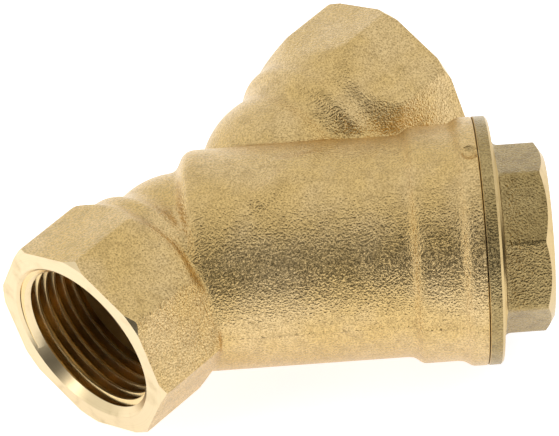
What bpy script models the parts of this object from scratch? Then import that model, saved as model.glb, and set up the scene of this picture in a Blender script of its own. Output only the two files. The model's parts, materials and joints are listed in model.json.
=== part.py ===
"""Brass Y strainer, G 3/4: a forged body with two octagonal pipe sockets and a 45 degree screen
chamber, a screwed cap with an octagonal head, its flat gasket and a perforated screen.
It lies on its side: the run is along +X, the branch points to +X -Y, and +Z is up."""

from math import cos, pi, radians, sin

import bmesh
import bpy
from mathutils import Matrix, Vector

MM = 0.001
GAP = 0.3 * MM                      # clearance between pieces that touch

# Run: distances from the point where the run and branch axes cross
INLET_LENGTH = 22.2 * MM
OUTLET_LENGTH = 49.8 * MM
BRANCH_ANGLE = radians(45)

# Sockets: an octagon 32 mm across flats, bored for a G 3/4 pipe thread
SOCKET_ACROSS_FLATS = 31.8 * MM
SOCKET_FACE_RADIUS = 16.5 * MM      # turned circle on the end face
SOCKET_CHAMFER = 0.8 * MM
INLET_OCTAGON = 12.6 * MM
INLET_FLARE = 2.6 * MM              # the octagon's back slopes down to the collar
OUTLET_OCTAGON = 10.6 * MM
OUTLET_FLARE = 5.6 * MM
THREAD_RADIUS = 12.64 * MM          # pitch radius of G 3/4
THREAD_LENGTH = 14.0 * MM
THREAD_RUNOUT = 2.0 * MM            # cone from the thread's end down to the passage
MOUTH_RADIUS = 13.6 * MM            # inner chamfer at the face

# Neck between socket and chamber
COLLAR_RADIUS = 15.2 * MM
COLLAR_LENGTH = 1.8 * MM
COLLAR_ROUND = 2.6 * MM
COLLAR_SWEEP = 50                   # degrees of round before it meets the sphere
NECK_RADIUS = 13.5 * MM             # two spheres on the run, one at each end of the chamber
NECK_SWEEP = 44
INLET_NECK = 0.8 * MM
OUTLET_NECK = 24.6 * MM
PASSAGE_RADIUS = 9.2 * MM
DRILL_TIP_RADIUS = 5.5 * MM         # where the outlet passage breaks into the chamber
DRILL_TIP_LENGTH = 5.0 * MM

# Chamber, from the crossing along the branch
CHAMBER_RADIUS = 17.15 * MM
MIDDLE_RADIUS = 18.3 * MM
MOUTH_COLLAR_RADIUS = 19.25 * MM
CHAMBER_END = -1.6 * MM             # middle of the closed end, a shallow cone with a round edge
CHAMBER_END_RISE = 2.6 * MM
CHAMBER_END_ROUND = 2.2 * MM
MIDDLE_START = 34.3 * MM
MOUTH_COLLAR_START = 42.1 * MM
STEP_LENGTH = 2.6 * MM
MOUTH_FACE = 46.2 * MM
CHAMBER_BORE = 13.6 * MM
CHAMBER_BORE_START = 12.2 * MM
CAP_THREAD_RADIUS = 15.7 * MM       # body's side of the M32 x 1.5 cap thread
CAP_THREAD_DEPTH = 9.2 * MM
CAP_THREAD_UNDERCUT = 1.5 * MM
GASKET_OUTER = 17.6 * MM
GASKET_INNER = 16.0 * MM
GASKET_THICKNESS = 1.2 * MM

# Cap: an octagon 27 mm across flats on a round flange
CAP_ACROSS_FLATS = 27.2 * MM
CAP_HEAD_END = 56.9 * MM
CAP_END_RADIUS = 12.6 * MM
CAP_END_CHAMFER = 1.4 * MM
CAP_FLANGE_RADIUS = 19.25 * MM
CAP_FLANGE_THICKNESS = 2.3 * MM
CAP_FLANGE_ROUND = 1.4 * MM
CAP_PLUG_LENGTH = 8.4 * MM
CAP_PLUG_CHAMFER = 0.7 * MM
CAP_POCKET_DEPTH = 3.2 * MM         # past the flange's underside
CAP_CLOCKING = radians(2.5)         # where the tightened head stops

# Screen: rolled perforated sheet
SCREEN_RADIUS = 9.9 * MM
SCREEN_WALL = 0.6 * MM
SCREEN_START = 7.4 * MM
SCREEN_COLUMNS = 10
SCREEN_ROWS = 9

ROUND = 48                          # sides of a large circle
SOCKET_CORNER_RADIUS = SOCKET_ACROSS_FLATS / 2 / cos(pi / 8)
CAP_CORNER_RADIUS = CAP_ACROSS_FLATS / 2 / cos(pi / 8)

# The origin is under the middle of the whole object, on the surface that it lies on
BRANCH_REACH = (CAP_HEAD_END - CAP_END_CHAMFER + CAP_CORNER_RADIUS) * sin(BRANCH_ANGLE)
CROSSING = Vector((
    (INLET_LENGTH - OUTLET_LENGTH) / 2,
    (BRANCH_REACH - SOCKET_CORNER_RADIUS) / 2,
    MOUTH_COLLAR_RADIUS,
))


def axis_frame(direction):
    """A frame at the crossing whose Z runs along direction and whose X points up."""
    along = direction.normalized()
    up = Vector((0, 0, 1))
    side = along.cross(up)
    turn = Matrix((up, side, along)).transposed().to_4x4()
    return Matrix.Translation(CROSSING) @ turn


RUN = axis_frame(Vector((1, 0, 0)))
BRANCH = axis_frame(Vector((cos(BRANCH_ANGLE), -sin(BRANCH_ANGLE), 0)))


def clear_scene():
    for item in list(bpy.data.objects):
        bpy.data.objects.remove(item, do_unlink=True)


def material(name, colour, roughness, metallic):
    made = bpy.data.materials.new(name)
    made.use_nodes = True
    shader = made.node_tree.nodes["Principled BSDF"]
    shader.inputs["Base Color"].default_value = (*colour, 1)
    shader.inputs["Roughness"].default_value = roughness
    shader.inputs["Metallic"].default_value = metallic
    return made


def place(name, mesh_data, frame, finish=None):
    mesh = bpy.data.meshes.new(name)
    mesh_data.to_mesh(mesh)
    mesh_data.free()
    item = bpy.data.objects.new(name, mesh)
    item.matrix_world = frame
    bpy.context.scene.collection.objects.link(item)
    if finish:
        mesh.materials.append(finish)
        mesh.shade_smooth()
        mesh.set_sharp_from_angle(angle=radians(30))
    return item


def guide(item):
    item.hide_render = True
    item.display_type = "WIRE"
    return item


def turned(profile, sides=ROUND):
    """Solid of revolution about Z from (radius, z) points that start and end on the axis,
    or a ring where the profile stays off the axis and closes on itself."""
    work = bmesh.new()
    rings = []
    for radius, height in profile:
        if radius == 0:
            rings.append([work.verts.new((0, 0, height))] * sides)
            continue
        rings.append([
            work.verts.new((radius * cos(2 * pi * k / sides), radius * sin(2 * pi * k / sides), height))
            for k in range(sides)
        ])
    pairs = list(zip(rings, rings[1:]))
    if profile[0][0] > 0:
        pairs.append((rings[-1], rings[0]))
    for lower, upper in pairs:
        for k in range(sides):
            following = (k + 1) % sides
            corners = [lower[k], lower[following], upper[following], upper[k]]
            work.faces.new(list(dict.fromkeys(corners)))
    bmesh.ops.recalc_face_normals(work, faces=work.faces)
    return work


def prism(corner_radius, start, end, clocking=0.0, sides=8):
    """Octagonal prism along Z, with a corner on local X turned by clocking."""
    work = bmesh.new()
    bmesh.ops.create_cone(
        work, cap_ends=True, segments=sides, radius1=corner_radius, radius2=corner_radius,
        depth=end - start,
        matrix=Matrix.Translation((0, 0, (start + end) / 2)) @ Matrix.Rotation(clocking, 4, "Z"),
    )
    return work


def arc(centre_radius, centre_height, size, start, end, steps=4):
    """Points of a round on a profile, with angles from the outward radius towards +Z."""
    points = []
    for k in range(steps + 1):
        angle = radians(start + (end - start) * k / steps)
        points.append((centre_radius + size * cos(angle), centre_height + size * sin(angle)))
    return points


def combine(item, operation, other):
    cut = item.modifiers.new(other.name, "BOOLEAN")
    cut.operation = operation
    cut.solver = "EXACT"
    cut.object = guide(other)


def octagon(name, frame, corner_radius, back, face, face_radius, drop, flare=None, clocking=0.0):
    """Octagonal block from back to face, with its corners turned off over a length of drop
    so that the end face is a circle. A flare is the radius at the back and the length over
    which it grows to the corners."""
    outward = 1 if face > back else -1
    back_radius, flare_length = flare or (corner_radius, 0.5 * MM)
    low, high = sorted((face, back))
    block = place(name, prism(corner_radius, low, high, clocking), frame)
    over = corner_radius + 1 * MM
    slope = drop / (corner_radius - face_radius)
    points = [
        (0, face + outward * MM),
        (face_radius - MM / slope, face + outward * MM),
        (over, face - outward * (over - face_radius) * slope),
        (over, back + outward * (flare_length + MM)),
        (corner_radius, back + outward * flare_length),
        (back_radius, back),
        (back_radius, back - outward * MM),
        (0, back - outward * MM),
    ]
    combine(block, "INTERSECT", place(name + "_envelope", turned(points), frame))
    return block


def make_body(finish):
    edge = CHAMBER_RADIUS - CHAMBER_END_ROUND
    chamber = [(0, CHAMBER_END), (edge / 2, CHAMBER_END + CHAMBER_END_RISE / 8)]
    chamber += arc(edge, CHAMBER_END + CHAMBER_END_RISE + CHAMBER_END_ROUND, CHAMBER_END_ROUND, -65, 0)
    chamber += [
        (CHAMBER_RADIUS, MIDDLE_START),
        (MIDDLE_RADIUS, MIDDLE_START + STEP_LENGTH),
        (MIDDLE_RADIUS, MOUTH_COLLAR_START),
        (MOUTH_COLLAR_RADIUS, MOUTH_COLLAR_START + STEP_LENGTH),
        (MOUTH_COLLAR_RADIUS, MOUTH_FACE),
        (0, MOUTH_FACE),
    ]
    body = place("body", turned(chamber), BRANCH, finish)

    inlet_back = -INLET_LENGTH + INLET_OCTAGON + INLET_FLARE
    outlet_back = OUTLET_LENGTH - OUTLET_OCTAGON - OUTLET_FLARE
    neck = [(0, inlet_back - MM), (COLLAR_RADIUS, inlet_back - MM)]
    neck += arc(COLLAR_RADIUS - COLLAR_ROUND, inlet_back + COLLAR_LENGTH, COLLAR_ROUND, 0, COLLAR_SWEEP)
    neck += arc(0, INLET_NECK, NECK_RADIUS, -8, NECK_SWEEP, 6)
    neck += arc(0, OUTLET_NECK, NECK_RADIUS, -NECK_SWEEP, 12, 6)
    neck += arc(COLLAR_RADIUS - COLLAR_ROUND, outlet_back - COLLAR_LENGTH, COLLAR_ROUND, -COLLAR_SWEEP, 0)
    neck += [(COLLAR_RADIUS, outlet_back + MM), (0, outlet_back + MM)]
    combine(body, "UNION", place("neck", turned(neck), RUN))
    for name, back, face, flare in (
        ("inlet_socket", inlet_back, -INLET_LENGTH, INLET_FLARE),
        ("outlet_socket", outlet_back, OUTLET_LENGTH, OUTLET_FLARE),
    ):
        block = octagon(
            name, RUN, SOCKET_CORNER_RADIUS, back, face, SOCKET_FACE_RADIUS, SOCKET_CHAMFER,
            (COLLAR_RADIUS, flare),
        )
        combine(body, "UNION", block)

    mouth = MOUTH_RADIUS - THREAD_RADIUS
    inlet_core = [
        (0, -INLET_LENGTH - 1 * MM),
        (MOUTH_RADIUS + 1 * MM, -INLET_LENGTH - 1 * MM),
        (THREAD_RADIUS, -INLET_LENGTH + mouth),
        (THREAD_RADIUS, -INLET_LENGTH + THREAD_LENGTH),
        (PASSAGE_RADIUS, -INLET_LENGTH + THREAD_LENGTH + THREAD_RUNOUT),
    ]
    inlet_core += arc(0, 0, PASSAGE_RADIUS, 0, 80, 6)
    inlet_core.append((0, PASSAGE_RADIUS))
    combine(body, "DIFFERENCE", place("inlet_core", turned(inlet_core), RUN))

    break_in = CHAMBER_BORE_START / cos(BRANCH_ANGLE) + 1 * MM
    outlet_core = [
        (0, break_in),
        (DRILL_TIP_RADIUS, break_in),
        (PASSAGE_RADIUS, break_in + DRILL_TIP_LENGTH),
        (PASSAGE_RADIUS, OUTLET_LENGTH - THREAD_LENGTH - THREAD_RUNOUT),
        (THREAD_RADIUS, OUTLET_LENGTH - THREAD_LENGTH),
        (THREAD_RADIUS, OUTLET_LENGTH - mouth),
        (MOUTH_RADIUS + 1 * MM, OUTLET_LENGTH + 1 * MM),
        (0, OUTLET_LENGTH + 1 * MM),
    ]
    combine(body, "DIFFERENCE", place("outlet_core", turned(outlet_core), RUN))

    seat_radius = SCREEN_RADIUS + GAP
    gasket_seat = MOUTH_FACE - GASKET_THICKNESS - GAP
    thread_start = MOUTH_FACE - CAP_THREAD_DEPTH
    chamber_core = [
        (0, 0),
        (PASSAGE_RADIUS, 0),
        (PASSAGE_RADIUS, SCREEN_START - GAP),
        (seat_radius, SCREEN_START - GAP),
        (seat_radius, CHAMBER_BORE_START),
        (CHAMBER_BORE, CHAMBER_BORE_START),
        (CHAMBER_BORE, thread_start - CAP_THREAD_UNDERCUT),
        (CAP_THREAD_RADIUS, thread_start),
        (CAP_THREAD_RADIUS, gasket_seat),
        (GASKET_OUTER + GAP, gasket_seat),
        (GASKET_OUTER + GAP, MOUTH_FACE + 1 * MM),
        (0, MOUTH_FACE + 1 * MM),
    ]
    combine(body, "DIFFERENCE", place("chamber_core", turned(chamber_core), BRANCH))
    return body


def make_cap(finish):
    underside = MOUTH_FACE + GAP
    flange_top = underside + CAP_FLANGE_THICKNESS
    plug_end = underside - CAP_PLUG_LENGTH
    plug_radius = CAP_THREAD_RADIUS - GAP
    blank = [
        (0, plug_end),
        (plug_radius - CAP_PLUG_CHAMFER, plug_end),
        (plug_radius, plug_end + CAP_PLUG_CHAMFER),
        (plug_radius, underside),
        (CAP_FLANGE_RADIUS, underside),
    ]
    blank += arc(
        CAP_FLANGE_RADIUS - CAP_FLANGE_ROUND, flange_top - CAP_FLANGE_ROUND, CAP_FLANGE_ROUND, 0, 90,
    )
    blank.append((0, flange_top))
    cap = place("cap", turned(blank), BRANCH, finish)
    head = octagon(
        "cap_head", BRANCH, CAP_CORNER_RADIUS, flange_top - 1 * MM, CAP_HEAD_END,
        CAP_END_RADIUS, CAP_END_CHAMFER, clocking=CAP_CLOCKING,
    )
    combine(cap, "UNION", head)

    pocket_radius = SCREEN_RADIUS + GAP
    pocket_end = underside + CAP_POCKET_DEPTH
    pocket_core = [
        (0, plug_end - 1 * MM),
        (pocket_radius, plug_end - 1 * MM),
        (pocket_radius, pocket_end),
        (0, pocket_end),
    ]
    combine(cap, "DIFFERENCE", place("pocket_core", turned(pocket_core), BRANCH))
    return cap


def make_gasket(finish):
    """Flat ring in the counterbore of the mouth, under the cap's flange."""
    seat = MOUTH_FACE - GASKET_THICKNESS
    ring = [
        (GASKET_INNER, seat),
        (GASKET_OUTER, seat),
        (GASKET_OUTER, MOUTH_FACE),
        (GASKET_INNER, MOUTH_FACE),
    ]
    return place("cap_gasket", turned(ring), BRANCH, finish)


def make_screen(finish):
    """Open tube with rows of square windows. Every other column and row of its grid is a
    window, so that no two windows meet at a corner."""
    columns = SCREEN_COLUMNS * 2
    rows = SCREEN_ROWS * 2 + 1
    end = MOUTH_FACE + CAP_POCKET_DEPTH
    work = bmesh.new()

    def ring(radius, row):
        height = SCREEN_START + (end - SCREEN_START) * row / rows
        return [
            work.verts.new((radius * cos(2 * pi * k / columns), radius * sin(2 * pi * k / columns), height))
            for k in range(columns)
        ]

    outer = [ring(SCREEN_RADIUS, row) for row in range(rows + 1)]
    inner = [ring(SCREEN_RADIUS - SCREEN_WALL, row) for row in range(rows + 1)]
    for row in range(rows):
        for k in range(columns):
            following = (k + 1) % columns
            out = [outer[row][k], outer[row][following], outer[row + 1][following], outer[row + 1][k]]
            within = [inner[row][k], inner[row][following], inner[row + 1][following], inner[row + 1][k]]
            if row % 2 and k % 2:
                for j in range(4):
                    after = (j + 1) % 4
                    work.faces.new((out[j], out[after], within[after], within[j]))
            else:
                work.faces.new(out)
                work.faces.new(list(reversed(within)))
    for row in (0, rows):
        for k in range(columns):
            following = (k + 1) % columns
            work.faces.new((outer[row][following], outer[row][k], inner[row][k], inner[row][following]))
    bmesh.ops.recalc_face_normals(work, faces=work.faces)
    return place("strainer_screen", work, BRANCH, finish)


def main():
    clear_scene()
    blasted_brass = material("blasted_brass", (0.52, 0.36, 0.15), 0.42, 1.0)
    turned_brass = material("turned_brass", (0.58, 0.42, 0.19), 0.3, 1.0)
    fibre = material("fibre", (0.10, 0.09, 0.08), 0.8, 0.0)
    stainless = material("stainless", (0.55, 0.55, 0.54), 0.35, 1.0)
    make_body(blasted_brass)
    make_cap(turned_brass)
    make_gasket(fibre)
    make_screen(stainless)


if __name__ == "__main__":
    main()
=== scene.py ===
import json
from math import cos, pi, radians, sin, sqrt, tan

import bpy
from mathutils import Euler, Matrix, Vector


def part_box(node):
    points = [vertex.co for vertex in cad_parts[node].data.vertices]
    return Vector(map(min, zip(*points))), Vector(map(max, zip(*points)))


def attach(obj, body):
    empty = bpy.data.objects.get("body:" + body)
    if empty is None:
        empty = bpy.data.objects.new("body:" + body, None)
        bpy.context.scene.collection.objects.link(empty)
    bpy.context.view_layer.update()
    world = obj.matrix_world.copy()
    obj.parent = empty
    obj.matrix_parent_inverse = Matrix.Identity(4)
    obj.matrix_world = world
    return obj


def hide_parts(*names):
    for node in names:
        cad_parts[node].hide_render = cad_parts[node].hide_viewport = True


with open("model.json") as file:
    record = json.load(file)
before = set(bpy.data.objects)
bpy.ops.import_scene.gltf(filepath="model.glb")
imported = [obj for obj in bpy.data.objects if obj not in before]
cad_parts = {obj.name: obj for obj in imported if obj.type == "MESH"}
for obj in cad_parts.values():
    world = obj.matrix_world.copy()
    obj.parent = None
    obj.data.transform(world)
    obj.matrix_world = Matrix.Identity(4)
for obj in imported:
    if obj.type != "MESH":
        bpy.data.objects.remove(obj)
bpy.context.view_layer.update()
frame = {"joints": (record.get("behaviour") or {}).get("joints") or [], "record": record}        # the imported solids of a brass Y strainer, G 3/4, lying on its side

mm = 0.001


# ---------------------------------------------------------------- run and branch
# The strainer has two axes in one level plane: the run, on which the pipes lie, and the branch at 45
# degrees to it, which the chamber, screen and cap share. Each gets a frame with its Z along the axis.
turn_joint = next(joint for joint in frame["joints"] if joint["name"] == "cap_turn")
outlet_mount = next(mount for mount in frame["record"]["mounts"] if mount["name"] == "outlet_face")
branch_way = Vector(turn_joint["axis"]).normalized()
branch_point = Vector(turn_joint["pos_m"])
crossing = branch_point + branch_way * ((outlet_mount["pos_m"][1] - branch_point.y) / branch_way.y)


def axis_frame(along):
    up = Vector((0, 0, 1))
    turn = Matrix((up, along.cross(up), along)).transposed().to_4x4()
    return Matrix.Translation(crossing) @ turn


run = axis_frame(Vector((1, 0, 0)))
branch = axis_frame(branch_way)


# ---------------------------------------------------------------- body: the forging
# One hot-forged brass body: a round chamber, two ball-shaped necks with a collar each, and two
# octagonal pipe ends. Its edges are soft, because it is forged in two halves, trimmed and blasted.
body_low, body_high = (Vector(corner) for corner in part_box("body"))
inlet_face = body_low.x - crossing.x
outlet_face = body_high.x - crossing.x
socket_flats = 31.8 * mm
socket_corner = socket_flats / 2 / cos(pi / 8)
facing_stock = 1.2 * mm          # forged too long, then turned off
collar_radius = 15.2 * mm
collar_round = 2.6 * mm
neck_radius = 13.5 * mm
inlet_neck = 0.8 * mm
outlet_neck = 24.6 * mm
inlet_collar = -7.0 * mm
outlet_collar = 33.6 * mm
inlet_shoulder = -9.6 * mm       # the octagons have their full corners from here outwards
outlet_shoulder = 39.2 * mm
chamber_radius = 17.15 * mm
chamber_round = 2.3 * mm
middle_radius = 18.3 * mm
mouth_radius = 19.25 * mm
mouth_face = 46.2 * mm


def deselect():
    if bpy.context.mode != "OBJECT":
        bpy.ops.object.mode_set(mode="OBJECT")
    bpy.ops.object.select_all(action="DESELECT")


def take(item):
    """Makes a piece the only one selected."""
    deselect()
    item.select_set(True)
    bpy.context.view_layer.objects.active = item


def settle(item, place):
    """Puts a piece's place into its mesh, so that its object stays at the origin."""
    take(item)
    item.matrix_world = place @ item.matrix_world
    bpy.ops.object.transform_apply(location=True, rotation=True, scale=True)


def draw(name, points):
    """An outline of (radius, height) points, drawn from one vertex by extruding it."""
    deselect()
    bpy.ops.mesh.primitive_plane_add(size=mm)
    item = bpy.context.object
    item.name = name
    bpy.ops.object.mode_set(mode="EDIT")
    bpy.ops.mesh.merge(type="CENTER")
    here = Vector((0, 0, 0))
    for index, (radius, height) in enumerate(points):
        step = Vector((radius, 0, height)) - here
        if index == 0:
            bpy.ops.transform.translate(value=step)
        else:
            bpy.ops.mesh.extrude_region_move(TRANSFORM_OT_translate={"value": step})
        here += step
    bpy.ops.mesh.select_all(action="SELECT")
    return item


def lathe(name, points, place, finish=None, steps=128):
    """Turns an outline about Z into a closed solid. One that stays off the axis makes a ring."""
    item = draw(name, points)
    if points[0][0] > 0:
        bpy.ops.mesh.edge_face_add()
        bpy.ops.mesh.delete(type="ONLY_FACE")
        bpy.ops.mesh.select_all(action="SELECT")
    bpy.ops.mesh.spin(steps=steps, angle=2 * pi, center=(0, 0, 0), axis=(0, 0, 1))
    bpy.ops.mesh.select_all(action="SELECT")
    bpy.ops.mesh.remove_doubles(threshold=0.001 * mm)
    bpy.ops.mesh.normals_make_consistent(inside=False)
    bpy.ops.object.mode_set(mode="OBJECT")
    settle(item, place)
    if finish:
        item.data.materials.append(finish)
    return item


def finish_with(item, kind, **settings):
    """Adds a modifier and applies it."""
    take(item)
    modifier = item.modifiers.new(kind.lower(), kind)
    for key, value in settings.items():
        setattr(modifier, key, value)
    bpy.ops.object.modifier_apply(modifier=modifier.name)


def mend(item):
    """Merges the hair-thin slivers that a cut leaves and closes what opens there."""
    sliver = 0.0005 * mm
    take(item)
    bpy.ops.object.mode_set(mode="EDIT")
    bpy.ops.mesh.select_all(action="SELECT")
    bpy.ops.mesh.remove_doubles(threshold=sliver)
    bpy.ops.mesh.dissolve_degenerate(threshold=sliver)
    bpy.ops.mesh.select_all(action="DESELECT")
    bpy.ops.mesh.select_mode(type="EDGE")
    bpy.ops.mesh.select_non_manifold(extend=False, use_wire=False, use_multi_face=False,
                                     use_non_contiguous=False, use_verts=False)
    bpy.ops.mesh.fill_holes(sides=0)
    bpy.ops.mesh.select_mode(type="VERT")
    bpy.ops.object.mode_set(mode="OBJECT")


def combine(item, operation, tool):
    """Joins on, cuts out or keeps what is in a tool, which leaves its own finish on the new faces."""
    finish_with(item, "BOOLEAN", operation=operation, solver="EXACT", object=tool,
                material_mode="TRANSFER")
    bpy.data.objects.remove(tool, do_unlink=True)
    mend(item)


def arc(centre_radius, centre_height, size, start, end, steps=8):
    """Points of a round, with angles in degrees from outward towards the axis's end."""
    points = []
    for step in range(steps + 1):
        angle = radians(start + (end - start) * step / steps)
        points.append((centre_radius + size * cos(angle), centre_height + size * sin(angle)))
    return points


def rise(low_radius, high_radius, start, end, steps=8):
    """Points of a soft forged step from one radius to the next."""
    points = []
    for step in range(steps + 1):
        share = step / steps
        points.append((low_radius + (high_radius - low_radius) * (1 - cos(pi * share)) / 2,
                       start + (end - start) * share))
    return points


def octagon(name, corner, low, high, outline, place, clocking=0.0):
    """An octagonal bar with a corner on X, kept only where a turned outline is."""
    deselect()
    bpy.ops.mesh.primitive_cylinder_add(
        vertices=8, radius=corner, depth=high - low, location=(0, 0, (low + high) / 2),
        rotation=(0, 0, clocking),
    )
    bar = bpy.context.object
    bar.name = name
    settle(bar, place)
    combine(bar, "INTERSECT", lathe(name + "_outline", outline, place))
    return bar


def join(parts, name):
    take(parts[0])
    for part in parts[1:]:
        part.select_set(True)
    bpy.ops.object.join()
    parts[0].name = name
    parts[0].data.name = name
    return parts[0]


def forge(item, grain, rounds):
    """Makes one skin of the joined shapes and rounds every edge, as a forging die does."""
    finish_with(item, "REMESH", mode="VOXEL", voxel_size=grain)
    finish_with(item, "SMOOTH", factor=0.5, iterations=rounds)


chamber_outline = [(0, -1.9 * mm), (8 * mm, -1.6 * mm), (13.4 * mm, 0.1 * mm)]
chamber_outline += arc(chamber_radius - chamber_round, 3.3 * mm, chamber_round, -66, 0)
chamber_outline += rise(chamber_radius, middle_radius, 34.8 * mm, 36.5 * mm)
chamber_outline += rise(middle_radius, mouth_radius, 42.4 * mm, 44.1 * mm)
chamber_outline += [(mouth_radius, mouth_face + facing_stock), (0, mouth_face + facing_stock)]
chamber = lathe("chamber", chamber_outline, branch)

neck_outline = [(0, inlet_collar - mm), (collar_radius, inlet_collar - mm)]
neck_outline += arc(collar_radius - collar_round, inlet_collar + 1.6 * mm, collar_round, 0, 54)
neck_outline += arc(0, inlet_neck, neck_radius, -8, 44)
neck_outline += arc(0, outlet_neck, neck_radius, -44, 12)
neck_outline += arc(collar_radius - collar_round, outlet_collar - 1.6 * mm, collar_round, -54, 0)
neck_outline += [(collar_radius, outlet_collar + mm), (0, outlet_collar + mm)]
neck = lathe("neck", neck_outline, run)

over = socket_corner + mm
inlet_end = inlet_face - facing_stock
outlet_end = outlet_face + facing_stock
inlet_socket = octagon(
    "inlet_socket", socket_corner, inlet_end, inlet_collar,
    [(0, inlet_end - mm), (over, inlet_end - mm), (over, inlet_shoulder - mm),
     (socket_corner, inlet_shoulder), (collar_radius, inlet_collar), (0, inlet_collar + mm)],
    run,
)
outlet_socket = octagon(
    "outlet_socket", socket_corner, outlet_collar, outlet_end,
    [(0, outlet_collar - mm), (collar_radius, outlet_collar), (socket_corner, outlet_shoulder),
     (over, outlet_shoulder + mm), (over, outlet_end + mm), (0, outlet_end + mm)],
    run,
)

# a plain raised arrow on top of the chamber says which way the water runs
arrow_relief = 0.4 * mm
arrow_place = 17 * mm            # along the branch
shaft_length = 9 * mm
shaft_width = 2.4 * mm
shaft_offset = -2.5 * mm
arrow_head_radius = 4.2 * mm
arrow_head_offset = 3.6 * mm
arrow_middle = crossing + branch_way * arrow_place
arrow_top = chamber_radius + 2 * mm
deselect()
bpy.ops.mesh.primitive_cube_add(
    size=1, location=arrow_middle + Vector((shaft_offset, 0, arrow_top / 2)),
    scale=(shaft_length, shaft_width, arrow_top),
)
arrow_shaft = bpy.context.object
bpy.ops.mesh.primitive_cylinder_add(
    vertices=3, radius=arrow_head_radius, depth=arrow_top,
    location=arrow_middle + Vector((arrow_head_offset, 0, arrow_top / 2)), rotation=(0, 0, -pi / 2),
)
arrow = bpy.context.object
settle(arrow_shaft, Matrix.Identity(4))
settle(arrow, Matrix.Identity(4))
combine(arrow, "UNION", arrow_shaft)
arrow_skin = chamber_radius + arrow_relief
combine(arrow, "INTERSECT", lathe(
    "arrow_skin", [(0, 2 * mm), (arrow_skin, 2 * mm), (arrow_skin, 34 * mm), (0, 34 * mm)], branch))

body = join([chamber, neck, inlet_socket, outlet_socket, arrow], "strainer_body")
forge(body, grain=0.45 * mm, rounds=7)

# the die halves meet on the level plane of both axes, where the trimmed flash leaves a fine ridge
ridge_height = 0.08 * mm
ridge_half_width = 0.35 * mm
take(body)
bpy.ops.object.mode_set(mode="EDIT")
for level in (-ridge_half_width, ridge_half_width, 0):
    bpy.ops.mesh.select_all(action="SELECT")
    bpy.ops.mesh.bisect(
        plane_co=crossing + Vector((0, 0, level)), plane_no=(0, 0, 1), threshold=0.0001 * mm)
bpy.ops.object.mode_set(mode="OBJECT")
for vertex in body.data.vertices:
    vertex.select = abs(vertex.co.z - crossing.z) < 0.002 * mm
bpy.ops.object.mode_set(mode="EDIT")
bpy.ops.transform.shrink_fatten(value=ridge_height)
bpy.ops.object.mode_set(mode="OBJECT")


# ---------------------------------------------------------------- body: blasted skin
# The forging is blasted with sand: matt yellow brass with a fine sparkling grain, slightly browned by
# handling. Large patches are a little darker or paler, and the grains are about 0.3 mm across.
class Wire:
    """A socket of a material's nodes. Sums on wires add their Math nodes."""

    def __init__(self, tree, socket=None):
        self.tree = tree
        self.socket = socket

    def node(self, kind, settings, inputs, output=0):
        """Adds any node: its settings first, then the values or wires of its sockets."""
        made = self.tree.nodes.new("ShaderNode" + kind)
        for key, value in settings.items():
            setattr(made, key, value)
        for key, value in inputs.items():
            if isinstance(value, Wire):
                self.tree.links.new(value.socket, made.inputs[key])
            else:
                made.inputs[key].default_value = value
        return Wire(self.tree, made.outputs[output])

    def math(self, operation, *values):
        return self.node("Math", {"operation": operation}, dict(enumerate(values)))

    def __add__(self, other):
        return self.math("ADD", self, other)

    def __radd__(self, other):
        return self.math("ADD", other, self)

    def __sub__(self, other):
        return self.math("SUBTRACT", self, other)

    def __rsub__(self, other):
        return self.math("SUBTRACT", other, self)

    def __mul__(self, other):
        return self.math("MULTIPLY", self, other)

    def __rmul__(self, other):
        return self.math("MULTIPLY", other, self)

    def __truediv__(self, other):
        return self.math("DIVIDE", self, other)

    def __pow__(self, other):
        return self.math("POWER", self, other)

    def over(self, low, high):
        """0 below low, 1 above high, and a smooth step between."""
        return self.node("MapRange", {"interpolation_type": "SMOOTHSTEP"}, {0: self, 1: low, 2: high})

    def noise(self, size, detail=2.0, roughness=0.5, where=None, distortion=0.0):
        """Cloudy values about 0.5 whose patches are as large as size, in metres."""
        return self.node("TexNoise", {}, {
            "Vector": where or self.place(), "Scale": 1 / size, "Detail": detail,
            "Roughness": roughness, "Distortion": distortion,
        })

    def place(self):
        return self.node("TexCoord", {}, {}, output=3)

    def blend(self, share, first, second):
        """Mixes two colours."""
        return self.node("Mix", {"data_type": "RGBA"}, {0: share, 6: first, 7: second}, 2)

    def bump(self, height, depth):
        """Raises the surface by height times depth, in metres."""
        return self.node("Bump", {}, {"Height": height, "Distance": depth, "Strength": 1.0})


def start_finish(name):
    """A new material's shader, and a wire to draw nodes from."""
    made = bpy.data.materials.new(name)
    made.use_nodes = True
    shader = made.node_tree.nodes["Principled BSDF"]
    return made, shader, Wire(made.node_tree)


def feed(tree_wire, shader, **values):
    """Sets the shader's sockets, by name with spaces as underscores."""
    for key, value in values.items():
        socket = shader.inputs[key.replace("_", " ")]
        if isinstance(value, Wire):
            tree_wire.tree.links.new(value.socket, socket)
        else:
            socket.default_value = value


def blasted_brass(name, yellow, brown, pale, soiling):
    made, shader, wire = start_finish(name)
    patches = wire.noise(9 * mm, 3)
    blotches = wire.noise(2.2 * mm, 2)
    grain = wire.noise(0.28 * mm, 1, 0.5)
    pits = wire.node("TexVoronoi", {"feature": "F1"}, {
        "Vector": wire.place(), "Scale": 1 / (0.42 * mm),
    })
    tint = wire.blend(patches.over(0.35, 0.68), yellow, pale)
    tint = wire.blend(blotches.over(0.45, 0.75) * soiling, tint, brown)
    tint = wire.blend(grain.over(0.65, 0.3) * 0.55, tint, brown)
    height = grain + pits * 0.5 + wire.noise(1.1 * mm, 1) * 0.2
    feed(wire, shader, Base_Color=tint, Metallic=1.0,
         Roughness=0.27 + patches * 0.08,
         Normal=wire.bump(height, 0.16 * mm))
    return made


forged_finish = blasted_brass(
    "blasted_brass", (0.78, 0.54, 0.215, 1), (0.33, 0.21, 0.075, 1), (0.83, 0.60, 0.29, 1), 0.25)
body.data.materials.append(forged_finish)


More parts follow.
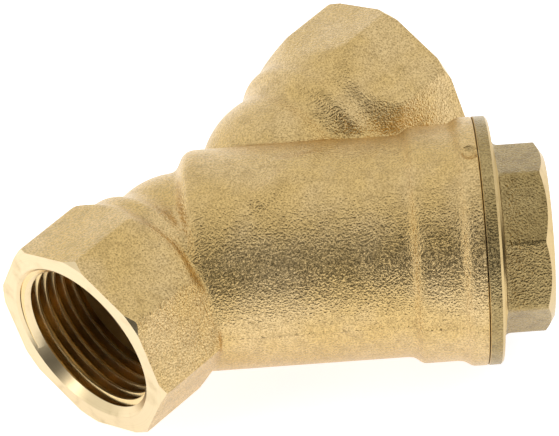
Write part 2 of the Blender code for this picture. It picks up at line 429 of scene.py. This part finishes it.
# ---------------------------------------------------------------- body: machining
# Each pipe end is faced, its corners are chamfered, and it is bored, chamfered at the mouth and
# tapped G 3/4. The branch is faced, counterbored for the gasket and tapped M32 x 1.5 for the cap.
pipe_major = 13.22 * mm
pipe_minor = 12.06 * mm
pipe_pitch = 1.814 * mm
pipe_depth = 12.0 * mm
face_radius = 16.5 * mm
mouth_edge = 13.6 * mm
passage_radius = 9.2 * mm
cap_major = 16.0 * mm
cap_minor = 15.25 * mm
cap_pitch = 1.5 * mm
gasket_seat = mouth_face - 1.5 * mm
gasket_bore = 17.9 * mm
chamber_bore = 13.6 * mm
screen_seat = 10.2 * mm


def turned_brass(name, colour, dark, axis, roughness, ring_depth):
    """Cut brass: fine rings about an axis, laid out by the distance from it and along it."""
    made, shader, wire = start_finish(name)
    turn = axis.inverted().to_euler()
    here = wire.node("Mapping", {"vector_type": "POINT"}, {
        "Vector": wire.place(), "Location": axis.inverted().translation, "Rotation": turn,
    })
    parts = [wire.node("SeparateXYZ", {}, {0: here}, output) for output in range(3)]
    radius = (parts[0] * parts[0] + parts[1] * parts[1]) ** 0.5
    ring_place = wire.node("CombineXYZ", {}, {0: radius, 1: parts[2], 2: 0.0})
    rings = wire.noise(0.16 * mm, 3, 0.7, ring_place)
    wide_rings = wire.noise(0.7 * mm, 1, 0.5, ring_place)
    stains = wire.noise(3 * mm, 3)
    tint = wire.blend(stains.over(0.5, 0.8) * 0.5, colour, dark)
    tint = wire.blend(rings.over(0.5, 0.25) * 0.35, tint, dark)
    feed(wire, shader, Base_Color=tint, Metallic=1.0,
         Roughness=roughness + rings * 0.1 + stains * 0.08,
         Normal=wire.bump(rings + wide_rings * 0.6, ring_depth))
    return made


faced_finish = turned_brass(
    "faced_brass", (0.84, 0.66, 0.39, 1), (0.52, 0.36, 0.15, 1), run, 0.22, 0.006 * mm)
tapped_finish = turned_brass(
    "tapped_brass", (0.86, 0.64, 0.31, 1), (0.56, 0.38, 0.15, 1), run, 0.1, 0.004 * mm)
branch_finish = turned_brass(
    "turned_brass", (0.78, 0.57, 0.27, 1), (0.45, 0.29, 0.11, 1), branch, 0.2, 0.006 * mm)


def helix(name, section, pitch, start, turns, place, finish, steps=96):
    """A thread: its section of (radius, height) points screwed about Z and closed at both ends."""
    item = draw(name, [(radius, start + height) for radius, height in section])
    bpy.ops.mesh.edge_face_add()
    bpy.ops.mesh.delete(type="ONLY_FACE")
    bpy.ops.object.mode_set(mode="OBJECT")
    finish_with(item, "SCREW", axis="Z", angle=2 * pi, screw_offset=pitch, steps=steps,
                render_steps=steps, iterations=turns, use_merge_vertices=False)
    bpy.ops.object.mode_set(mode="EDIT")
    bpy.ops.mesh.select_all(action="DESELECT")
    bpy.ops.mesh.select_mode(type="EDGE")
    bpy.ops.mesh.select_non_manifold(extend=False, use_wire=False, use_multi_face=False,
                                     use_non_contiguous=False, use_verts=False)
    bpy.ops.mesh.fill_holes(sides=0)
    bpy.ops.mesh.select_all(action="SELECT")
    bpy.ops.mesh.normals_make_consistent(inside=False)
    bpy.ops.mesh.select_mode(type="VERT")
    bpy.ops.object.mode_set(mode="OBJECT")
    settle(item, place)
    item.data.materials.append(finish)
    return item


def vee(base_radius, tip_radius, half_angle, tip_width):
    """The section of one thread: a vee with a narrow flat at its tip."""
    half_tip = tip_width / 2
    half_base = half_tip + abs(tip_radius - base_radius) * tan(radians(half_angle))
    return [(base_radius, -half_base), (base_radius, half_base),
            (tip_radius, half_tip), (tip_radius, -half_tip)]


def pipe_tool(name, face, inward, passage):
    """What is cut out of a pipe end: everything past its face and corner chamfer, and its bore."""
    beyond = face - inward * 3 * mm
    far = face_radius + 2 * mm
    chamfer_slope = 0.8 * mm / (socket_corner - face_radius)
    groove = pipe_major + 0.2 * mm
    outline = [
        (0, beyond),
        (far, beyond),
        (far, face + inward * (far - face_radius) * chamfer_slope),
        (face_radius, face),
        (mouth_edge, face),
        (pipe_minor, face + inward * (mouth_edge - pipe_minor)),
        (pipe_minor, face + inward * (pipe_depth - 0.6 * mm)),
        (groove, face + inward * pipe_depth),
        (groove, face + inward * (pipe_depth + 1.8 * mm)),
        (passage_radius, face + inward * (pipe_depth + 4.2 * mm)),
    ]
    tool = lathe(name, outline + passage, run, faced_finish)
    first = min(face - inward * 1.5 * pipe_pitch, face + inward * (pipe_depth + 0.5 * mm))
    thread = helix(name + "_thread", vee(pipe_minor - 0.3 * mm, pipe_major, 27.5, 0.26 * mm),
                   pipe_pitch, first, 8, run, tapped_finish)
    combine(tool, "UNION", thread)
    return tool


inlet_end_passage = arc(0, 0, passage_radius, 0, 80)
inlet_end_passage.append((0, passage_radius))
combine(body, "DIFFERENCE", pipe_tool("inlet_tool", inlet_face, 1, inlet_end_passage))
break_in = 18.3 * mm             # the outlet's passage ends in the chamber's wall
drill_tip = [(passage_radius, break_in + 5 * mm), (5.5 * mm, break_in), (0, break_in)]
combine(body, "DIFFERENCE", pipe_tool("outlet_tool", outlet_face, -1, drill_tip))

far = mouth_radius + 2 * mm
edge_break = 0.12 * mm
branch_passage = passage_radius + 0.15 * mm
passage_start = -0.6 * mm
seat_floor = 7.1 * mm            # the screen stands here
chamber_floor = 12.2 * mm
relief = cap_major + 0.1 * mm    # where the tap runs out
relief_start = 35.6 * mm
relief_end = 36.7 * mm
branch_tool = lathe("branch_tool", [
    (0, passage_start),
    (branch_passage, passage_start),
    (branch_passage, seat_floor),
    (screen_seat, seat_floor),
    (screen_seat, chamber_floor),
    (chamber_bore, chamber_floor),
    (chamber_bore, relief_start - 0.7 * mm),
    (relief, relief_start),
    (relief, relief_end),
    (cap_minor, relief_end + 0.6 * mm),
    (cap_minor, gasket_seat - 0.6 * mm),
    (cap_major, gasket_seat),
    (gasket_bore, gasket_seat),
    (gasket_bore, mouth_face - edge_break),
    (gasket_bore + edge_break, mouth_face),
    (mouth_radius - edge_break, mouth_face),
    (far, mouth_face - (far - mouth_radius + edge_break)),
    (far, mouth_face + 2 * mm),
    (0, mouth_face + 2 * mm),
], branch, branch_finish)
cap_thread_start = 36.2 * mm
cap_thread = vee(cap_minor - 0.3 * mm, cap_major, 30, 0.24 * mm)
combine(branch_tool, "UNION", helix("cap_thread_cut", cap_thread, cap_pitch, cap_thread_start, 6,
                                    branch, branch_finish))
combine(body, "DIFFERENCE", branch_tool)

# a shallow ball-shaped dimple on top, close to the mouth
ball_radius = 2.1 * mm
ball_depth = 0.7 * mm
ball_place = 45.0 * mm
ball_height = mouth_radius + ball_radius - ball_depth
deselect()
bpy.ops.mesh.primitive_uv_sphere_add(
    segments=48, ring_count=24, radius=ball_radius,
    location=crossing + branch_way * ball_place + Vector((0, 0, ball_height)),
)
ball = bpy.context.object
ball.data.materials.append(forged_finish)
combine(body, "DIFFERENCE", ball)

take(body)
bpy.ops.object.shade_smooth_by_angle(angle=radians(32))
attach(body, "housing")
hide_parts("body")


# ---------------------------------------------------------------- screen
# A tube rolled from perforated stainless sheet, 0.5 mm thick, with a plain border at each end. It
# stands on its seat at the inlet passage, and the pocket of the cap holds its other end.
screen_low, screen_high = (Vector(corner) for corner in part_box("strainer_screen"))
screen_radius = (screen_high.z - screen_low.z) / 2
screen_start = (screen_low.x - crossing.x) / branch_way.x + screen_radius
screen_end = (screen_high.x - crossing.x) / branch_way.x - screen_radius
sheet = 0.5 * mm
hole_columns = 52
hole_rows = 39
rolled_radius = screen_radius - sheet / 2
hole_step = 2 * pi * rolled_radius / hole_columns
row_step = hole_step * sqrt(3) / 2
hole_radius = 0.265 * hole_step

deselect()
bpy.ops.mesh.primitive_circle_add(vertices=6, radius=hole_step / sqrt(3), fill_type="NGON")
screen = bpy.context.object
screen.name = "strainer_screen_tube"
screen.data.name = screen.name
bpy.ops.object.mode_set(mode="EDIT")
bpy.ops.mesh.inset(thickness=hole_step / 2 - hole_radius * sqrt(3) / 2, depth=0)
bpy.ops.mesh.delete(type="FACE")
bpy.ops.object.mode_set(mode="OBJECT")
for count, step in ((hole_columns, (hole_step, 0, 0)), (hole_rows, (hole_step / 2, row_step, 0))):
    finish_with(screen, "ARRAY", count=count, use_relative_offset=False, use_constant_offset=True,
                constant_offset_displace=step, use_merge_vertices=True, merge_threshold=0.01 * mm)
border_gap = 0.28 * hole_step
first_line = -border_gap
last_line = (hole_rows - 1) * row_step + border_gap
border = (screen_end - screen_start - (last_line - first_line)) / 2
bpy.ops.object.mode_set(mode="EDIT")
for line, outward in ((first_line, -1), (last_line, 1)):
    bpy.ops.mesh.select_all(action="SELECT")
    bpy.ops.mesh.bisect(plane_co=(0, line, 0), plane_no=(0, outward, 0), clear_outer=True,
                        threshold=0.001 * mm)
    bpy.ops.mesh.extrude_region_move(TRANSFORM_OT_translate={"value": (0, outward * border, 0)})
bpy.ops.object.mode_set(mode="OBJECT")

# rolled up: every row starts half a hole later, so the bend goes round a little more than once
take(screen)
bpy.ops.transform.rotate(value=-pi / 2, orient_axis="X", center_override=(0, 0, 0))
bpy.ops.object.transform_apply(location=True, rotation=True, scale=True)
finish_with(screen, "SIMPLE_DEFORM", deform_method="BEND", deform_axis="Z",
            angle=screen.dimensions.x / rolled_radius)
bpy.ops.object.mode_set(mode="EDIT")
bpy.ops.mesh.select_all(action="SELECT")
bpy.ops.mesh.remove_doubles(threshold=0.01 * mm)
bpy.ops.mesh.normals_make_consistent(inside=False)
bpy.ops.transform.translate(value=(0, -rolled_radius, screen_start + border - first_line))
bpy.ops.object.mode_set(mode="OBJECT")
finish_with(screen, "SOLIDIFY", thickness=sheet, offset=0)
settle(screen, branch)


def rolled_steel(name):
    """Stainless sheet: rolling lines along the tube, slightly stained by water."""
    made, shader, wire = start_finish(name)
    inside = branch.inverted()
    here = wire.node("Mapping", {"vector_type": "POINT"}, {
        "Vector": wire.place(), "Location": inside.translation, "Rotation": inside.to_euler(),
    })
    stretched = here.node("VectorMath", {"operation": "MULTIPLY"}, {0: here, 1: (1.0, 1.0, 0.04)})
    lines = wire.noise(0.12 * mm, 3, 0.6, stretched)
    stains = wire.noise(4 * mm, 3)
    tint = wire.blend(stains.over(0.45, 0.75) * 0.5, (0.60, 0.59, 0.57, 1), (0.42, 0.38, 0.32, 1))
    feed(wire, shader, Base_Color=tint, Metallic=1.0, Roughness=0.24 + lines * 0.14 + stains * 0.1,
         Normal=wire.bump(lines, 0.003 * mm))
    return made


screen.data.materials.append(rolled_steel("rolled_steel"))
take(screen)
bpy.ops.object.shade_smooth_by_angle(angle=radians(35))
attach(screen, "screen")
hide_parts("strainer_screen")


# ---------------------------------------------------------------- gasket
# A flat ring of pressed fibre in the counterbore of the mouth. The flange of the cap presses on it,
# so its corners are rounded and its cut edge is a little rough.
gasket_low, gasket_high = (Vector(corner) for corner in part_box("cap_gasket"))
gasket_outer = (gasket_high.z - gasket_low.z) / 2
gasket_top = (gasket_high.x - crossing.x) / branch_way.x - gasket_outer
gasket_thickness = 1.2 * mm
gasket_inner = 16.1 * mm
gasket_round = 0.25 * mm
gasket_corner = gasket_outer - gasket_round


def fibre(name):
    """Pressed fibre: dark brown, dry, with short pale strands in it."""
    made, shader, wire = start_finish(name)
    strands = wire.noise(0.25 * mm, 3, 0.7, distortion=1.5)
    tint = wire.blend(strands.over(0.45, 0.7), (0.055, 0.042, 0.032, 1), (0.16, 0.12, 0.085, 1))
    feed(wire, shader, Base_Color=tint, Roughness=0.85 - strands * 0.2,
         Normal=wire.bump(strands, 0.04 * mm))
    return made


gasket_foot = gasket_top - gasket_thickness
gasket = lathe("cap_gasket_ring", [
    *arc(gasket_inner + gasket_round, gasket_top - gasket_round, gasket_round, 180, 90, 3),
    *arc(gasket_corner, gasket_top - gasket_round, gasket_round, 90, 0, 3),
    *arc(gasket_corner, gasket_foot + gasket_round, gasket_round, 0, -90, 3),
    *arc(gasket_inner + gasket_round, gasket_foot + gasket_round, gasket_round, -90, -180, 3),
], branch, fibre("pressed_fibre"))
bpy.ops.object.shade_smooth()
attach(gasket, "seal")
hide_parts("cap_gasket")


# ---------------------------------------------------------------- cap
# A forged and blasted brass plug: an octagonal head, 27 mm across flats, on a round flange. Its end,
# its flange and the hollow plug with the M32 x 1.5 thread are turned.
cap_flats = 27.2 * mm
cap_corner = cap_flats / 2 / cos(pi / 8)
cap_clocking = radians(2.5)      # where the tightened head stops
flange_start = mouth_face + 0.14 * mm
flange_end = flange_start + 2.25 * mm
head_end = 56.9 * mm
head_face = 12.6 * mm
head_chamfer = 1.4 * mm
plug_end = 38.1 * mm
plug_radius = cap_minor - 0.2 * mm
plug_neck = 14.7 * mm            # the bare stretch under the flange
plug_shoulder = 44.2 * mm
pocket_radius = screen_radius + 0.3 * mm
pocket_end = 49.7 * mm
flange_bevel = 0.4 * mm

flange = lathe("flange", [
    (0, flange_start - mm), (mouth_radius, flange_start - mm), (mouth_radius, flange_end + 0.6 * mm),
    (0, flange_end + 0.6 * mm),
], branch)
head = octagon("cap_head", cap_corner, flange_start, head_end + mm, [
    (0, flange_start - mm), (cap_corner + mm, flange_start - mm),
    (cap_corner + mm, head_end + 2 * mm), (0, head_end + 2 * mm),
], branch, cap_clocking)
cap_finish = blasted_brass(
    "browned_brass", (0.46, 0.33, 0.135, 1), (0.17, 0.11, 0.04, 1), (0.54, 0.40, 0.18, 1), 0.4)
cap_turned = turned_brass(
    "cap_turned_brass", (0.66, 0.48, 0.22, 1), (0.36, 0.23, 0.09, 1), branch, 0.24, 0.006 * mm)
cap = join([flange, head], "strainer_cap")
forge(cap, grain=0.36 * mm, rounds=8)
cap.data.materials.append(cap_finish)

# the end is faced and chamfered, and the flange is faced round the head and below
far = mouth_radius + 2 * mm
chamfer_slope = head_chamfer / (cap_corner - head_face)
combine(cap, "DIFFERENCE", lathe("end_tool", [
    (0, head_end), (head_face, head_end), (far, head_end - (far - head_face) * chamfer_slope),
    (far, head_end + 3 * mm), (0, head_end + 3 * mm),
], branch, cap_turned))
combine(cap, "DIFFERENCE", lathe("flange_tool", [
    (cap_corner + 0.3 * mm, flange_end), (mouth_radius - flange_bevel, flange_end),
    (far, flange_end - (far - mouth_radius + flange_bevel)), (far, head_end - 6 * mm),
    (cap_corner + 0.3 * mm, head_end - 6 * mm),
], branch, cap_turned))
combine(cap, "DIFFERENCE", lathe("underside_tool", [
    (0, flange_start - 3 * mm), (far, flange_start - 3 * mm),
    (far, flange_start + far - mouth_radius + edge_break),
    (mouth_radius - edge_break, flange_start), (0, flange_start),
], branch, cap_turned))
plug = lathe("plug", [
    (0, plug_end), (plug_radius - 0.7 * mm, plug_end), (plug_radius, plug_end + 0.7 * mm),
    (plug_radius, plug_shoulder), (plug_neck, plug_shoulder + 0.4 * mm),
    (plug_neck, flange_start + 0.5 * mm), (0, flange_start + 0.5 * mm),
], branch, cap_turned)
plug_thread = vee(plug_radius - 0.2 * mm, cap_major - 0.16 * mm, 30, 0.18 * mm)
thread_turns = 4
combine(plug, "UNION", helix("plug_thread", plug_thread, cap_pitch, cap_thread_start + cap_pitch,
                             thread_turns, branch, cap_turned))
combine(cap, "UNION", plug)
combine(cap, "DIFFERENCE", lathe("pocket_tool", [
    (0, plug_end - mm), (pocket_radius, plug_end - mm), (pocket_radius, pocket_end),
    (0, pocket_end + 1.5 * mm),
], branch, cap_turned))
take(cap)
bpy.ops.object.shade_smooth_by_angle(angle=radians(32))
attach(cap, "plug")
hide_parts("cap")


# ---------------------------------------------------------------- table, light and camera
# The strainer lies on a plain white frosted table, which glows a little itself. The room's walls are
# pale behind it and on its right and dim on the camera's side, and a soft box hangs on its left.
deselect()
bpy.ops.mesh.primitive_plane_add(size=3)
table = bpy.context.object
table.name = "table"
table_paint, shader, wire = start_finish("table_white")
feed(wire, shader, Base_Color=(0.86, 0.86, 0.86, 1), Roughness=0.6,
     Emission_Color=(0.97, 1.0, 1.07, 1), Emission_Strength=0.72)
table.data.materials.append(table_paint)

room = bpy.data.worlds.new("room")
room.use_nodes = True
wire = Wire(room.node_tree)


def towards(azimuth, elevation):
    """How much a direction of the room points to a place in it, from -1 to 1."""
    place = Euler((0, radians(-elevation), radians(azimuth))).to_matrix() @ Vector((1, 0, 0))
    direction = wire.node("TexCoord", {}, {})
    return wire.node("VectorMath", {"operation": "DOT_PRODUCT"}, {0: direction, 1: place}, 1)


back_wall = towards(100, 12).over(-0.1, 1.0)
right_wall = towards(-25, 45).over(0.45, 1.0)
dim_side = towards(-140, 20).over(0.5, 0.92)
room_light = room.node_tree.nodes["Background"]
room_light.inputs["Color"].default_value = (0.98, 1.0, 1.0, 1)
room.node_tree.links.new((0.6 + back_wall * 0.36 + right_wall * 0.38 - dim_side * 0.57).socket,
                         room_light.inputs["Strength"])
bpy.context.scene.world = room
bpy.context.scene.view_settings.view_transform = "Standard"

soft_box_place = crossing + Vector((-0.755, 0.160, 0.464))
bpy.ops.object.light_add(type="AREA", location=soft_box_place)
soft_box = bpy.context.object
soft_box.name = "soft_box"
soft_box.rotation_euler = (crossing - soft_box_place).to_track_quat("-Z", "Y").to_euler()
soft_box.data.shape = "SQUARE"
soft_box.data.size = 0.2
soft_box.data.energy = 0.5

bpy.ops.object.camera_add(
    location=crossing + Vector((-0.297912, -0.312996, 0.441540)),
    rotation=[radians(angle) for angle in (44.8465, 2.5573, -48.2405)],
)
camera = bpy.context.object
camera.data.lens = 257.603
camera.data.sensor_width = 36
camera.data.clip_start = 0.01
bpy.context.scene.camera = camera
